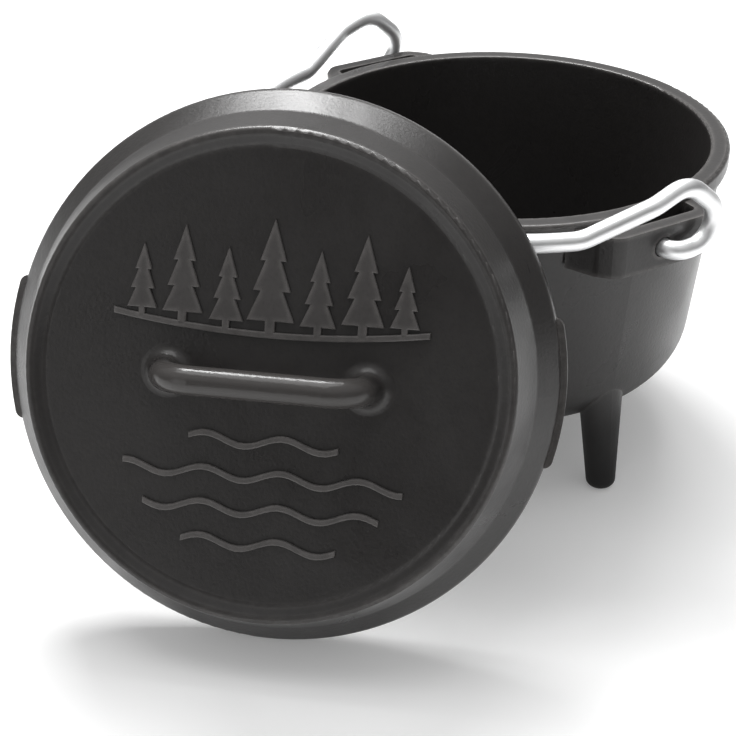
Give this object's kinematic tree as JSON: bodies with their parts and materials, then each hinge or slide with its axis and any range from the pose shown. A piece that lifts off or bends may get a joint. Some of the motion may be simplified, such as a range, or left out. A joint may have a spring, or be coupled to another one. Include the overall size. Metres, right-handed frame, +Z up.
{
  "type": "camp dutch oven",
  "caption": "Small cast iron camp oven on legs, with a flanged dish-top lid that lifts off and a wire bail that folds down.",
  "frame": {"origin": "the pot's axis on the floor plane its leg tips stand on", "axes": "+X through the ear beside the leaned lid, +Z up, the folded bail's hoop towards -Y"},
  "size_m": [0.2373, 0.2906, 0.168],
  "materials": {
    "cast_iron": "seasoned, satin, fine sand-cast grain",
    "wire": "bright plated round wire"
  },
  "bodies": {
    "pot": {"pot": "cast_iron"},
    "lid": {"lid": "cast_iron"},
    "bail": {"bail": "wire"}
  },
  "joints": [
    {"name": "bail_hinge", "type": "hinge", "parent": "pot", "child": "bail", "pos_m": [0, 0, 0.1095], "axis": [-1, 0, 0], "range_deg": [0, 180]},
    {"name": "lid_lift", "type": "slide", "parent": "pot", "child": "lid", "axis": [0, 0, 1], "range_m": [0, 0.25]}
  ]
}
